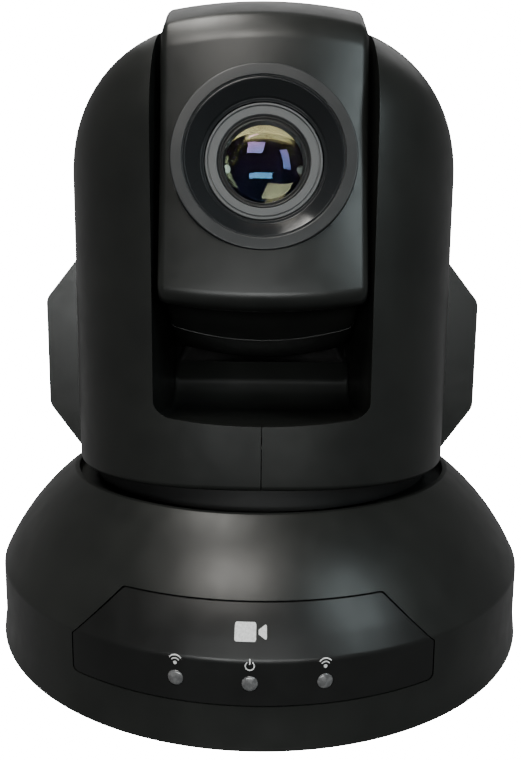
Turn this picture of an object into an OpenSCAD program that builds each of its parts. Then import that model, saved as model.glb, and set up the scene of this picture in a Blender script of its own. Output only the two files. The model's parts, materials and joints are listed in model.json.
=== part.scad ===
// Pan-tilt-zoom camera: a round flared base, a U-shaped yoke that pans on it and a lens head
// that tilts between the yoke's arms. Millimetres, +Z up, front faces -Y.
// The origin is at the centre of the underside of the feet.

/* [Base] */
// Diameter of the base's upright wall
base_d = 140; // [136:1:144]
// Height of the ridge where the wall turns into the flare
ridge_z = 19; // [18:0.5:20]
// Height of the flare's top rim
rim_z = 41; // [40.5:0.1:41.5]
// Diameter of the flare's top rim
rim_d = 103.6; // [102:0.2:105]
// Thickness of the moulded shells
wall = 2.4; // [2:0.1:2.8]
// Half the width of the front panel on the wall, in degrees round the base
panel_half_angle = 31.4; // [30:0.2:32]

/* [Yoke] */
// Width of the yoke across the arms
yoke_w = 97.2; // [96:0.4:99.2]
// Depth of the yoke, front to back
yoke_d = 96; // [94:0.5:98]
// Height of the yoke's underside above the table
yoke_bottom = 44.5; // [44.3:0.1:45]
// Height of the tops of the arms
yoke_top = 150.6; // [149.6:0.5:151.6]
// Width of the slot that the head sits in
slot_w = 48.2; // [48:0.1:48.6]
// Width of the slot between the arms' front edges
lip_w = 46.8; // [46.6:0.1:47]
// Reach of each side pod from the yoke's centre
pod_reach = 60.8; // [60:0.1:61.5]

/* [Head] */
// Height of the tilt axis
tilt_z = 112; // [111.5:0.1:112.5]
// How far the head looks up as stored, in degrees
rest_tilt = 9; // [9:1:10]
// Width of the head's front
head_w = 44.4; // [44:0.1:44.6]
// Radius of the head's round back
barrel_r = 44; // [43.5:0.1:44.2]
// Distance from the tilt axis to the head's flat front
face_y = 44.6; // [44:0.1:45]
// Outer radius of the ring round the lens
bezel_r = 19.4; // [19:0.1:19.6]
// Drop of the lens below the tilt axis
lens_drop = 4.2; // [4:0.1:4.5]

/* [Drive] */
// Radius of the large belt pulley on the pan shaft
pan_pulley_r = 22; // [20:0.5:22]
// Radius of the large belt pulley on the tilt axle
tilt_pulley_r = 15; // [13:0.5:15]
// Radius of both motors' small pulleys
motor_pulley_r = 5; // [4:0.5:5]

/* [Hidden] */
$fn = 64;

base_r = base_d / 2;
rim_r = rim_d / 2;
foot_h = 1.6;                  // the feet stand out this far under the base plate
plate_t = 2;                   // thickness of the base plate
plate_top = foot_h + plate_t;
skirt_z = 1.2;                 // lower edge of the base cover
recess_z = 38.6;               // dark recess inside the rim, round the turntable
neck_r = 22;                   // hole in the base cover that the turntable's hub turns in
turntable_r = 46;
pulley_z = 21;                 // underside of the pan pulleys
belt_w = 6;
belt_t = 1.2;
belt_gap = 0.15;               // the belts stand this clear of the pulleys they wrap
motor_x = -40;                 // the pan motor stands this far to the left of the pan axis
shaft_r = 9;
axle_r = 4;
running = 0.05;                // radial clearance of a running fit
arm_x = slot_w / 2;
plan_power = 2.5;              // the yoke's plan is a superellipse of this power
port_z = 11.6;                 // height of the row of sockets at the back
rocker_x = 18.8;
rocker_swing = 7;              // the rocker stands this far over, in degrees
panel_yaw = -1.5;              // the front panel sits turned a little to the left
window_z = 14.6;               // height of the round status windows
window_step = 11.7;            // angle between them round the base
saddle_lip_z = 59;
saddle_floor_z = 57;
scoop_r = 9;                   // fillet between the scoop's floor and its back
barrel_rise = 1.1;             // the head's round back is centred this far above the tilt axis
trough_r = barrel_r + 1.2;     // the trough under the head clears its round back
frame_x = 27.6;                // inner face of the yoke frame's uprights
frame_t = 1.6;
tilt_belt_x = 31;
tilt_motor_z = 70;
tilt_motor_x = 38.2;           // mounting face of the tilt motor
pod_back = 36;                 // rear face of the side pods
pod_screws = [[55.5, 58], [55.5, 81], [-55.5, 58], [-55.5, 81]];
head_screw_places = [[-13, -12], [13, -12], [-13, 14], [13, 14]];
head_screw_y = 41;              // outer face of the rear screws of the head, behind the tilt axis
rod_r = 0.8;
split_y = -16;                 // the head's front shell meets its rear shell here
crown = 2.4;                   // the head's outline shrinks by this much towards its sides

// ---- outlines ----

// Points on an arc from a to b that bulges by sag to the left of the line from a to b.
function arc_points(a, b, sag, steps = 10) =
    let (mid = (a + b) / 2,
         chord = b - a,
         side = [-chord.y, chord.x] / norm(chord),
         radius = (pow(norm(chord) / 2, 2) + sag * sag) / (2 * abs(sag)),
         centre = mid + side * (sag - sign(sag) * radius),
         start = atan2(a.y - centre.y, a.x - centre.x),
         end = atan2(b.y - centre.y, b.x - centre.x),
         turn = (end - start + 540) % 360 - 180)
    [for (i = [0 : steps]) centre + radius * [cos(start + turn * i / steps),
                                              sin(start + turn * i / steps)]];

// Superellipse with half-widths a and b.
function superellipse(a, b, steps = 56) =
    [for (i = [0 : steps - 1])
        let (t = 360 * i / steps)
        [a * sign(cos(t)) * pow(abs(cos(t)), 2 / plan_power),
         b * sign(sin(t)) * pow(abs(sin(t)), 2 / plan_power)]];

// Points round two pulleys, one at the origin and a smaller one at [run, 0].
function belt_points(r1, r2, run) =
    let (tilt = acos((r1 - r2) / run))
    concat([for (i = [0 : 30]) let (t = tilt + (360 - 2 * tilt) * i / 30) r1 * [cos(t), sin(t)]],
           [for (i = [0 : 12]) let (t = -tilt + 2 * tilt * i / 12) [run, 0] + r2 * [cos(t), sin(t)]]);

module belt_loop(r1, r2, run) {
    inner = belt_gap;
    outer = belt_gap + belt_t;
    linear_extrude(belt_w) difference() {
        polygon(belt_points(r1 + outer, r2 + outer, run));
        polygon(belt_points(r1 + inner, r2 + inner, run));
    }
}

module pulley(radius, bore_r, flange_t = 0.8) {
    difference() {
        union() {
            cylinder(r = radius, h = belt_w);
            translate([0, 0, -flange_t]) cylinder(r = radius + 1, h = flange_t);
        }
        translate([0, 0, -flange_t - 1]) cylinder(r = bore_r, h = belt_w + flange_t + 2);
    }
}

module along_x(x) {
    translate([x, 0, 0]) rotate([0, 90, 0]) children();
}

module screw(head_r, head_h, shank_r, length) {
    cylinder(r = head_r, h = head_h);
    translate([0, 0, head_h]) cylinder(r = shank_r, h = length);
}

module in_head() {
    translate([0, 0, tilt_z]) rotate([-rest_tilt, 0, 0]) children();
}

// Puts children, drawn along +Z, on the lens axis looking forward; z = 0 is the head's front.
module on_lens() {
    in_head() translate([0, -face_y, -lens_drop]) rotate([90, 0, 0]) children();
}

// ---- base ----

screw_places = [[48, 30], [-48, 30], [48, -30], [-48, -30]];

// Half section of the base cover's outside, drawn inwards by inset.
function base_outline(inset) =
    let (low = inset > 0 ? skirt_z - 1 : skirt_z)
    concat([[0, low], [base_r + 0.6 - inset, low], [base_r - inset, 6]],
           arc_points([base_r - inset, ridge_z - inset * 0.4], [rim_r - inset * 0.6, rim_z - inset],
                      -1.8, 7),
           [[0, rim_z - inset]]);

module base_outside() {
    rotate_extrude($fn = 128) polygon(base_outline(0));
}

// The front panel's outline seen from the front, with a gap all round.
module panel_window(gap) {
    half = base_r * sin(panel_half_angle) + gap;
    top_half = half - 10.6;
    low = 10.2 - gap;
    high = 28 + gap;
    corner = ridge_z - 0.8;
    rotate([0, 0, panel_yaw]) translate([0, -30, 0]) rotate([90, 0, 0]) linear_extrude(60)
        polygon([[-half, low], [half, low], [half, corner], [top_half, high], [-top_half, high],
                 [-half, corner]]);
}

module base_cover() {
    color([0.06, 0.06, 0.06]) {
        difference() {
            base_outside();
            rotate_extrude($fn = 128) polygon(base_outline(wall));
            translate([0, 0, recess_z]) cylinder(r = rim_r - 1.2, h = 5, $fn = 128);
            translate([0, 0, 30]) cylinder(r = neck_r, h = 20);
            panel_window(0.3);
            translate([-29, 50, 5.4]) cube([58, 30, 12.4]);
        }
        difference() {
            translate([0, 0, recess_z - wall]) cylinder(r = rim_r - 0.6, h = wall, $fn = 128);
            translate([0, 0, 30]) cylinder(r = neck_r, h = 20);
        }
        for (place = screw_places) translate([place.x, place.y, plate_top]) difference() {
            cylinder(r = 3.6, h = 28.4);
            translate([0, 0, -1]) cylinder(r = 1.5, h = 8);
        }
    }
}

module base_plate() {
    color([0.1, 0.1, 0.1]) difference() {
        translate([0, 0, foot_h]) cylinder(r = base_r - wall - 0.8, h = plate_t, $fn = 128);
        translate([0, 0, foot_h - 1]) cylinder(r = 4.8, h = plate_t + 2);
        for (place = screw_places)
            translate([place.x, place.y, foot_h - 1]) cylinder(r = 1.7, h = plate_t + 2);
        for (x = [-20, 20], y = [-40, 40])
            translate([x, y, foot_h - 1]) cylinder(r = 1.6, h = plate_t + 2);
    }
}

module front_panel() {
    color([0.03, 0.03, 0.03]) difference() {
        intersection() {
            base_outside();
            panel_window(0);
        }
        rotate_extrude($fn = 128) polygon(base_outline(wall));
        for (angle = [-window_step, 0, window_step]) rotate([0, 0, panel_yaw + angle])
            translate([0, -50, window_z]) rotate([90, 0, 0]) cylinder(r = 1.55, h = 30);
    }
}

// A light guide from the board to the panel's face.
module status_window(angle) {
    back = 60.6;
    rotate([0, 0, panel_yaw + angle]) translate([0, -back, window_z]) rotate([90, 0, 0])
        cylinder(r = 1.5, h = base_r - back);
}

module ir_window_left() { color([0.5, 0.5, 0.48]) status_window(-window_step); }
module power_window() { color([0.5, 0.5, 0.48]) status_window(0); }
module ir_window_right() { color([0.5, 0.5, 0.48]) status_window(window_step); }

module indicator_board() {
    color([0.05, 0.25, 0.12]) translate([-20, -57.2, 10]) cube([40, 1.2, 9]);
}

module rear_port_plate() {
    color([0.08, 0.08, 0.08]) difference() {
        translate([-30, 57.5, 4.2]) cube([60, 1.6, 14.6]);
        translate([-26, 50, 6.4]) cube([12.6, 20, 10.6]);
        translate([-8, 50, port_z]) rotate([-90, 0, 0]) cylinder(r = 4.7, h = 20);
        translate([2, 50, port_z]) rotate([-90, 0, 0]) cylinder(r = 4.7, h = 20);
        translate([11, 50, port_z]) rotate([-90, 0, 0]) cylinder(r = 3.6, h = 20);
        translate([rocker_x - 2.6, 50, 7.8]) cube([5.2, 20, 7.6]);
        translate([25.4, 50, port_z]) rotate([-90, 0, 0]) cylinder(r = 2.7, h = 20);
    }
}

module usb_socket() {
    color("silver") difference() {
        translate([-25.8, 45, 6.6]) cube([12.2, 14.6, 10.2]);
        translate([-24.9, 49, 7.4]) cube([10.4, 12, 8.6]);
    }
    color("white") translate([-22.7, 48, 9.8]) cube([6, 8.6, 3.2]);
}

module serial_socket(x) {
    color([0.1, 0.1, 0.1]) translate([x, 46, port_z]) rotate([-90, 0, 0]) difference() {
        cylinder(r = 4.6, h = 13.6);
        translate([0, 0, 9]) difference() {
            cylinder(r = 3.9, h = 6);
            translate([-1, -3, -1]) cube([2, 1.6, 8]);
        }
    }
}

module serial_socket_in() { serial_socket(-8); }
module serial_socket_out() { serial_socket(2); }

module dc_jack() {
    color([0.05, 0.05, 0.05]) translate([11, 46, port_z]) rotate([-90, 0, 0]) difference() {
        cylinder(r = 3.5, h = 13.4);
        translate([0, 0, 4]) cylinder(r = 2.75, h = 12);
    }
    color("silver") translate([11, 49, port_z]) rotate([-90, 0, 0]) cylinder(r = 1, h = 9);
}

module switch_housing() {
    color([0.04, 0.04, 0.04]) difference() {
        translate([rocker_x - 2.5, 50.5, 7.9]) cube([5, 9, 7.4]);
        translate([rocker_x - 1.8, 53.5, port_z - 3.1]) cube([3.6, 8, 6.2]);
        translate([0, 57, port_z]) along_x(rocker_x - 3) cylinder(r = 0.6 + running, h = 6);
    }
}

// The rocker turns about two small pins along X; its upper half stands out as stored.
module power_rocker() {
    color([0.12, 0.12, 0.12]) translate([rocker_x, 57, port_z]) rotate([0, 90, 0]) {
        translate([0, 0, -1.6]) linear_extrude(3.2) rotate(-rocker_swing)
            polygon([[-2.5, -1.6], [2.5, -1.6], [2.5, 2.9], [0, 2.5], [-2.5, 2.9]]);
        translate([0, 0, -2.2]) cylinder(r = 0.6, h = 4.4);
    }
}

module selector_housing() {
    color([0.15, 0.15, 0.16]) difference() {
        translate([22.4, 50.5, 8.4]) cube([6, 6.6, 6.4]);
        translate([25.4, 53, port_z]) rotate([-90, 0, 0]) cylinder(r = 2.35, h = 6);
    }
}

module rotary_selector() {
    color("ivory") translate([25.4, 53.4, port_z]) rotate([-90, 0, 0]) difference() {
        cylinder(r = 2.3, h = 5.2);
        translate([-0.35, -1.9, 4.4]) cube([0.7, 3.8, 2]);
    }
}

module rubber_feet() {
    color([0.05, 0.05, 0.05]) for (angle = [45 : 90 : 315])
        rotate([0, 0, angle]) translate([51, 0, 0]) cylinder(r = 7, h = foot_h);
}

module tripod_insert() {
    color("goldenrod") difference() {
        translate([0, 0, foot_h]) union() {
            cylinder(r = 4.8, h = 9);
            translate([0, 0, plate_t]) cylinder(r = 7.5, h = 1.4);
        }
        translate([0, 0, foot_h - 1]) cylinder(r = 2.6, h = 9);
    }
}

module main_board() {
    color([0.05, 0.25, 0.12]) translate([-36, 27, 4.6]) cube([72, 24, 1.6]);
    color([0.1, 0.1, 0.1]) {
        translate([-6, 28, 6.2]) cube([12, 12, 1.6]);
        translate([14, 27, 6.2]) cube([9, 7, 1.4]);
    }
    color("silver") for (x = [-28, -20]) translate([x, 30, 6.2]) cylinder(r = 3, h = 7);
}

module pan_bracket() {
    color("silver") {
        difference() {
            translate([-30, -28, 29]) cube([60, 56, 2]);
            translate([0, 0, 28]) cylinder(r = 14, h = 4);
        }
        for (x = [-25, 25], y = [-23, 23])
            translate([x, y, plate_top]) cylinder(r = 3, h = 29 - plate_top);
    }
}

module pan_bearing() {
    color("lightgray") translate([0, 0, 29]) difference() {
        cylinder(r = 14, h = 6);
        translate([0, 0, -1]) cylinder(r = shaft_r + running, h = 8);
    }
}

module pan_motor() {
    color([0.3, 0.3, 0.32]) translate([motor_x, 0, plate_top]) difference() {
        cylinder(r = 17, h = 13.4);
        translate([0, 0, 7]) cylinder(r = 1.5 + running, h = 10);
    }
}

module pan_motor_pulley() {
    color("silver") translate([motor_x, 0, 0]) {
        translate([0, 0, 12]) cylinder(r = 1.5, h = pulley_z + belt_w - 12);
        translate([0, 0, pulley_z]) pulley(motor_pulley_r, 1.5);
    }
}

module pan_belt() {
    color([0.03, 0.03, 0.03]) translate([0, 0, pulley_z]) rotate([0, 0, 180])
        belt_loop(pan_pulley_r, motor_pulley_r, -motor_x);
}

module base_screws() {
    color("dimgray") for (place = screw_places)
        translate([place.x, place.y, foot_h - 1]) screw(2.7, 1, 1.5, 8);
}

// ---- pan body ----

module pan_shaft() {
    color("silver") translate([0, 0, 17]) difference() {
        cylinder(r = shaft_r, h = 23);
        translate([0, 0, -1]) cylinder(r = 5.5, h = 26);
    }
}

module pan_pulley() {
    color([0.85, 0.85, 0.82]) translate([0, 0, pulley_z]) pulley(pan_pulley_r, shaft_r);
}

module turntable() {
    color([0.02, 0.02, 0.02]) difference() {
        union() {
            translate([0, 0, 39.6]) cylinder(r = turntable_r, h = yoke_bottom - 39.6, $fn = 128);
            translate([0, 0, 36]) cylinder(r = neck_r - 1, h = 4);
        }
        translate([0, 0, 30]) cylinder(r = shaft_r, h = 10);
        translate([0, 0, 30]) cylinder(r = 5.5, h = 20);
    }
}

// The yoke's whole outside, without slot or pods, drawn inwards by inset.
module yoke_block(inset) {
    half_w = yoke_w / 2 - inset;
    half_d = yoke_d / 2 - inset;
    low = yoke_bottom + (inset > 0 ? inset : 0);
    dome_x = 17;
    dome_z = 115;
    dome_h = yoke_top - dome_z - inset;
    shoulder = half_w - dome_x;
    intersection() {
        translate([0, 0, low]) linear_extrude(yoke_top) polygon(superellipse(half_w, half_d));
        translate([0, 60, 0]) rotate([90, 0, 0]) linear_extrude(120)
            polygon(concat([[half_w - 0.8, low], [half_w, low + 2]],
                           [for (t = [0 : 9 : 90]) [dome_x + shoulder * cos(t), dome_z + dome_h * sin(t)]],
                           [for (t = [90 : -9 : 0]) [-dome_x - shoulder * cos(t), dome_z + dome_h * sin(t)]],
                           [[-half_w, low + 2], [-half_w + 0.8, low]]));
        translate([-60, 0, 0]) rotate([90, 0, 90]) linear_extrude(120)
            polygon(concat([[half_d, low]],
                           [for (t = [0 : 9 : 90]) [18 + (half_d - 18) * cos(t), 122 + (dome_h - 7) * sin(t)]],
                           [for (t = [90 : -9 : 0]) [-18 - (half_d - 18) * cos(t), 122 + (dome_h - 7) * sin(t)]],
                           [[-half_d, low]]));
    }
}

// Side section of the slot: a scoop in front, then a round trough under the head.
module slot_section(grow) {
    polygon(concat([[-70, saddle_lip_z - grow], [-48, saddle_lip_z - grow], [-40, saddle_floor_z - grow]],
                   [for (t = [0 : 11 : 55])
                       [(scoop_r + grow) * sin(t) - 22, saddle_floor_z + scoop_r - (scoop_r + grow) * cos(t)]],
                   [for (t = [-100 : 12 : -28])
                       [(trough_r + grow) * cos(t), tilt_z + barrel_rise + (trough_r + grow) * sin(t)]],
                   [[70, 91.9 - grow], [70, 170], [-70, 170]]));
}

module slot_space(half_w, grow) {
    translate([-half_w, 0, 0]) rotate([90, 0, 90]) linear_extrude(2 * half_w) slot_section(grow);
}

// Outside of one octagonal side pod, drawn inwards by inset; side is -1 for left, 1 for right.
module pod_block(side, inset) {
    reach = pod_reach - inset;
    inner = 30;
    points = [[inner, 41.4 + inset], [50, 41.4 + inset], [52.6, 42 + inset], [reach - 0.8, 54 + inset / 3],
              [reach, 57], [reach, 83], [reach - 0.8, 86 - inset / 3], [52.6, 94.8 - inset],
              [50, 97.2 - inset], [inner, 97.2 - inset]];
    translate([0, 36 - inset, 0]) rotate([90, 0, 0]) linear_extrude(35.6 - 2 * inset)
        polygon([for (p = points) [side * p.x, p.y]]);
}

// Inner walls of the slot, which also close the arms on the inside.
module yoke_hollow() {
    difference() {
        yoke_block(wall);
        slot_space(arm_x + 1.8, 1.8);
    }
}

module axle_clearance() {
    translate([0, 0, tilt_z]) along_x(-40) cylinder(r = 7.5, h = 80);
}

// Space that the saddle cover takes out of the shells, behind their front lip.
module saddle_space() {
    intersection() {
        slot_space(arm_x, 2);
        translate([-40, -45, 40]) cube([80, 88, 130]);
    }
}

module front_shell(side) {
    difference() {
        intersection() {
            yoke_block(0);
            translate([side > 0 ? 0.1 : -70, -60, 40]) cube([69.9, 60, 130]);
        }
        yoke_hollow();
        slot_space(lip_w / 2, 0);
        intersection() {
            slot_space(arm_x, 0);
            translate([-40, -41, 40]) cube([80, 100, 130]);
        }
        saddle_space();
        axle_clearance();
    }
}

module yoke_left_shell() { color([0.07, 0.07, 0.07]) front_shell(-1); }
module yoke_right_shell() { color([0.07, 0.07, 0.07]) front_shell(1); }

module yoke_rear_cover() {
    color([0.06, 0.06, 0.06]) difference() {
        union() {
            intersection() {
                yoke_block(0);
                translate([-70, 0.1, 40]) cube([140, 60, 130]);
            }
            for (side = [-1, 1]) pod_block(side, 0);
        }
        yoke_hollow();
        for (side = [-1, 1]) pod_block(side, wall);
        translate([0, 0, 30]) cylinder(r = turntable_r + 0.3, h = yoke_bottom - 30, $fn = 96);
        slot_space(arm_x, 0);
        saddle_space();
        axle_clearance();
        for (place = pod_screws) translate([place.x, pod_back, place.y]) rotate([90, 0, 0]) {
            translate([0, 0, -1]) cylinder(r = 2.5, h = 2.2);
            cylinder(r = 1.3, h = 10);
        }
    }
}

// Thin curved sheet between the arms: the scoop and the trough that the head turns in.
module saddle_cover() {
    color([0.05, 0.05, 0.05]) difference() {
        intersection() {
            slot_space(arm_x - 0.05, 1.8);
            translate([-40, -44.9, 40]) cube([80, 87.7, 52]);
        }
        slot_space(arm_x + 1, 0);
    }
}

module yoke_frame() {
    floor_z = yoke_bottom + wall;
    color("silver") {
        translate([-frame_x - frame_t, -20, floor_z]) cube([2 * (frame_x + frame_t), 40, frame_t]);
        for (side = [-1, 1]) difference() {
            union() {
                translate([side > 0 ? frame_x : -frame_x - frame_t, -13, floor_z])
                    cube([frame_t, 26, tilt_z - floor_z]);
                translate([0, 0, tilt_z]) along_x(side > 0 ? frame_x : -frame_x - frame_t)
                    cylinder(r = 13, h = frame_t);
            }
            translate([0, 0, tilt_z]) along_x(-40) cylinder(r = 6.5, h = 80);
        }
        for (y = [-11.2, 11.2], z = [-12, 12])
            translate([0, y, tilt_motor_z + z]) along_x(frame_x + frame_t)
                cylinder(r = 1.5, h = tilt_motor_x - frame_x - frame_t);
    }
}

module tilt_motor() {
    color([0.3, 0.3, 0.32]) translate([0, 0, tilt_motor_z]) difference() {
        union() {
            translate([tilt_motor_x, -13, -14]) cube([1, 26, 28]);
            along_x(tilt_motor_x + 1) cylinder(r = 12.4, h = 5.8);
        }
        along_x(tilt_motor_x - 1) cylinder(r = 1.2 + running, h = 6);
    }
}

module tilt_motor_pulley() {
    color("silver") translate([0, 0, tilt_motor_z]) along_x(tilt_belt_x) {
        pulley(motor_pulley_r, 1.2);
        cylinder(r = 1.2, h = tilt_motor_x + 4 - tilt_belt_x);
    }
}

module tilt_belt() {
    color([0.03, 0.03, 0.03]) translate([0, 0, tilt_z]) along_x(tilt_belt_x)
        belt_loop(tilt_pulley_r, motor_pulley_r, tilt_z - tilt_motor_z);
}

module tilt_bush(side) {
    x = frame_x - 0.8;
    color("goldenrod") translate([0, 0, tilt_z]) along_x(side > 0 ? x : -x - 3) difference() {
        cylinder(r = 6.5, h = 3);
        translate([0, 0, -1]) cylinder(r = axle_r + running, h = 5);
    }
}

module tilt_bush_left() { tilt_bush(-1); }
module tilt_bush_right() { tilt_bush(1); }

module yoke_screws() {
    color("dimgray") for (place = pod_screws)
        translate([place.x, pod_back - 0.1, place.y]) rotate([90, 0, 0]) screw(2.4, 1, 1.2, 9);
}

// ---- head ----

// The face's half of the head in side view, in the tilt axis's frame: x is forward-back.
function face_outline() =
    concat(arc_points([split_y + 6, barrel_r + 0.9], [-face_y, 22], 2.4, 8),
           [[-face_y, -32.5], [-face_y + 0.9, -34.9], [-face_y + 3.2, -36.3], [-26.5, -33],
            [split_y + 6, -20]]);

// One thin slice of an outline, at x and shrunk towards the tilt axis by inset.
module slice(x, inset) {
    scale_by = 1 - inset / face_y;
    translate([x, 0, 0]) rotate([90, 0, 90]) linear_extrude(0.01) scale(scale_by) children();
}

// Outline swept across the head, full in the middle and smaller at the sides.
module crowned(half_w, inset) {
    hull() for (x = [-1, -0.88, -0.5, 0, 0.5, 0.88, 1])
        slice(x * (half_w - inset), inset + crown * x * x + (abs(x) == 1 ? 1.2 : 0)) children();
}

module face_block(inset) { crowned(head_w / 2, inset) polygon(face_outline()); }

module barrel_block(inset) {
    crowned(head_w / 2 + 0.9, inset) translate([0, barrel_rise]) circle(barrel_r, $fn = 56);
}

module front_of_split(gap) { translate([-40, -80, -80]) cube([80, 80 + split_y - gap, 160]); }
module behind_split(gap) { translate([-40, split_y + gap, -80]) cube([80, 80, 160]); }

module head_front_shell() {
    color([0.08, 0.08, 0.08]) difference() {
        in_head() intersection() {
            union() {
                face_block(0);
                barrel_block(0);
            }
            front_of_split(0.1);
        }
        in_head() face_block(2);
        in_head() barrel_block(2);
        on_lens() translate([0, 0, -12]) cylinder(r = bezel_r + 0.05, h = 20);
    }
}

module head_rear_shell() {
    color([0.07, 0.07, 0.07]) in_head() difference() {
        intersection() {
            barrel_block(0);
            behind_split(0.1);
        }
        barrel_block(2);
        along_x(-40) cylinder(r = axle_r + 0.5, h = 80);
        for (place = head_screw_places) translate([place.x, 0, place.y]) rotate([-90, 0, 0]) {
            translate([0, 0, 30]) cylinder(r = 1.3, h = 20);
            translate([0, 0, head_screw_y - 1.05]) cylinder(r = 2.35, h = 10);
        }
    }
}

module lens_bezel() {
    color([0.12, 0.12, 0.13]) on_lens() rotate_extrude($fn = 96)
        polygon([[bezel_r, -5.2], [bezel_r, 0], [bezel_r - 0.4, 0.3], [17, 0.3], [16.7, 0], [12.6, -2.6],
                 [12.6, -5.2]]);
}

module lens_barrel() {
    color([0.25, 0.25, 0.26]) on_lens() rotate_extrude($fn = 96)
        polygon([[9.7, -2.9], [12, -2.9], [12.4, -3.3], [12.4, -9], [13, -9], [13, -33.5], [9, -33.5],
                 [9, -8], [9.7, -8]]);
}

module front_lens() {
    color([0.05, 0.06, 0.08, 0.6]) on_lens() intersection() {
        translate([0, 0, -16.6]) sphere(r = 14.6, $fn = 96);
        translate([0, 0, -7.6]) cylinder(r = 8.9, h = 8);
    }
}

module retaining_ring() {
    color([0.05, 0.05, 0.05]) on_lens() difference() {
        translate([0, 0, -4.6]) cylinder(r = 9.65, h = 1.2);
        translate([0, 0, -4.8]) cylinder(r1 = 8.6, r2 = 8.9, h = 1.6);
    }
}

// A moving lens cell that slides on the two guide rods.
module lens_cell(front, thick) {
    on_lens() translate([0, 0, front - thick]) difference() {
        cylinder(r = 9 - running, h = thick);
        for (x = [-7, 7]) translate([x, 0, -1]) cylinder(r = rod_r + running, h = thick + 2);
    }
}

module zoom_group() { color([0.2, 0.22, 0.3]) lens_cell(-10, 4); }
module focus_group() { color([0.2, 0.25, 0.3]) lens_cell(-25, 3); }

module guide_rods() {
    color("silver") on_lens() {
        for (x = [-7, 7]) translate([x, 0, -33.5]) cylinder(r = rod_r, h = 25);
    }
}

module sensor_board() {
    color([0.05, 0.25, 0.12]) on_lens() translate([-14, -12, -35]) cube([28, 24, 1.4]);
    color([0.1, 0.1, 0.12]) on_lens() translate([-5, -4.5, -33.6]) cube([10, 9, 1]);
}

module head_frame() {
    side_x = 16.6;
    color("silver") {
        on_lens() difference() {
            translate([-side_x, -15, -20]) cube([2 * side_x, 30, 1.4]);
            translate([0, 0, -22]) cylinder(r = 13, h = 6);
        }
        in_head() {
            for (x = [-side_x, side_x - 1.4]) translate([x, -25.9, -12]) cube([1.4, 38, 22]);
            translate([-side_x, 10.7, -12]) cube([2 * side_x, 1.4, 22]);
        }
    }
}

module tilt_axle_left() {
    color("silver") in_head() along_x(-36) difference() {
        cylinder(r = axle_r, h = 36 - 16.6);
        translate([0, 0, -1]) cylinder(r = 2.2, h = 40);
    }
}

module tilt_axle_right() {
    color("silver") in_head() along_x(16.6) cylinder(r = axle_r, h = tilt_belt_x + belt_w - 16.6);
}

module tilt_pulley() {
    color([0.85, 0.85, 0.82]) in_head() along_x(tilt_belt_x) pulley(tilt_pulley_r, axle_r);
}

module head_screws() {
    color("dimgray") in_head() for (place = head_screw_places)
        translate([place.x, head_screw_y, place.y]) rotate([90, 0, 0])
            screw(2.2, 1, 1.2, 8);
}

base_cover();
base_plate();
front_panel();
ir_window_left();
power_window();
ir_window_right();
indicator_board();
rear_port_plate();
usb_socket();
dc_jack();
serial_socket_in();
serial_socket_out();
switch_housing();
power_rocker();
selector_housing();
rotary_selector();
rubber_feet();
tripod_insert();
main_board();
pan_bracket();
pan_bearing();
pan_motor();
pan_motor_pulley();
pan_belt();
base_screws();
pan_shaft();
pan_pulley();
turntable();
yoke_frame();
yoke_left_shell();
yoke_right_shell();
yoke_rear_cover();
saddle_cover();
tilt_motor();
tilt_motor_pulley();
tilt_belt();
tilt_bush_left();
tilt_bush_right();
yoke_screws();
head_front_shell();
head_rear_shell();
lens_bezel();
lens_barrel();
front_lens();
retaining_ring();
zoom_group();
focus_group();
guide_rods();
sensor_board();
head_frame();
tilt_axle_left();
tilt_axle_right();
tilt_pulley();
head_screws();
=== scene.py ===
# %% [markdown]
# # A pan-tilt-zoom camera
# The camera stands on a round flared base. A U-shaped yoke pans on the base, and a head with
# the lens tilts between the yoke's arms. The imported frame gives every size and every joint, so
# this script measures the frame first and then makes the moulded shells, the lens and the
# finishes round it. Everything is in metres, +Z is up and the lens looks along -Y.

# %% Load the frame
import json
from math import asin, atan2, cos, pi, radians, sin, sqrt

import bmesh
import bpy
from mathutils import Matrix, Vector


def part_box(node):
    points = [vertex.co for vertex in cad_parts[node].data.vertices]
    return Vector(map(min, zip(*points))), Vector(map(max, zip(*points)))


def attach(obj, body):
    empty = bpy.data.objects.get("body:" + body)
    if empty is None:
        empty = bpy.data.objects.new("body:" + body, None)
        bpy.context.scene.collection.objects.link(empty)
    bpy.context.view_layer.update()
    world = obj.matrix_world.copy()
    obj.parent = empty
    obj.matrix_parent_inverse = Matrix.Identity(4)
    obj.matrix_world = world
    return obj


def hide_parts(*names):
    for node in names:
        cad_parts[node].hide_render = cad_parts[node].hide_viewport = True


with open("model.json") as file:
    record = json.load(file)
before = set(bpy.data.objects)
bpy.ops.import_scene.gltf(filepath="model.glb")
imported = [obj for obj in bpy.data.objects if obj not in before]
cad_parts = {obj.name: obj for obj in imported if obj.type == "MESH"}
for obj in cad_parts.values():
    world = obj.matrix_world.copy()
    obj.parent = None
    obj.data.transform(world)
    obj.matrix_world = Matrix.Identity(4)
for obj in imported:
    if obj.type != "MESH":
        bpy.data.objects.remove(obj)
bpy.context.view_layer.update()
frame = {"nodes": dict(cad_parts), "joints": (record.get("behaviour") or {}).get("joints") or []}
MM = 0.001

# %% [markdown]
# ## Camera
# The camera stands close to the object, a little above the middle, and looks slightly down.
# Being close is what makes the base look so wide against the head, so the distance matters
# more than the focal length. A free-standing tripod would lean a little too, hence the roll.

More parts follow.
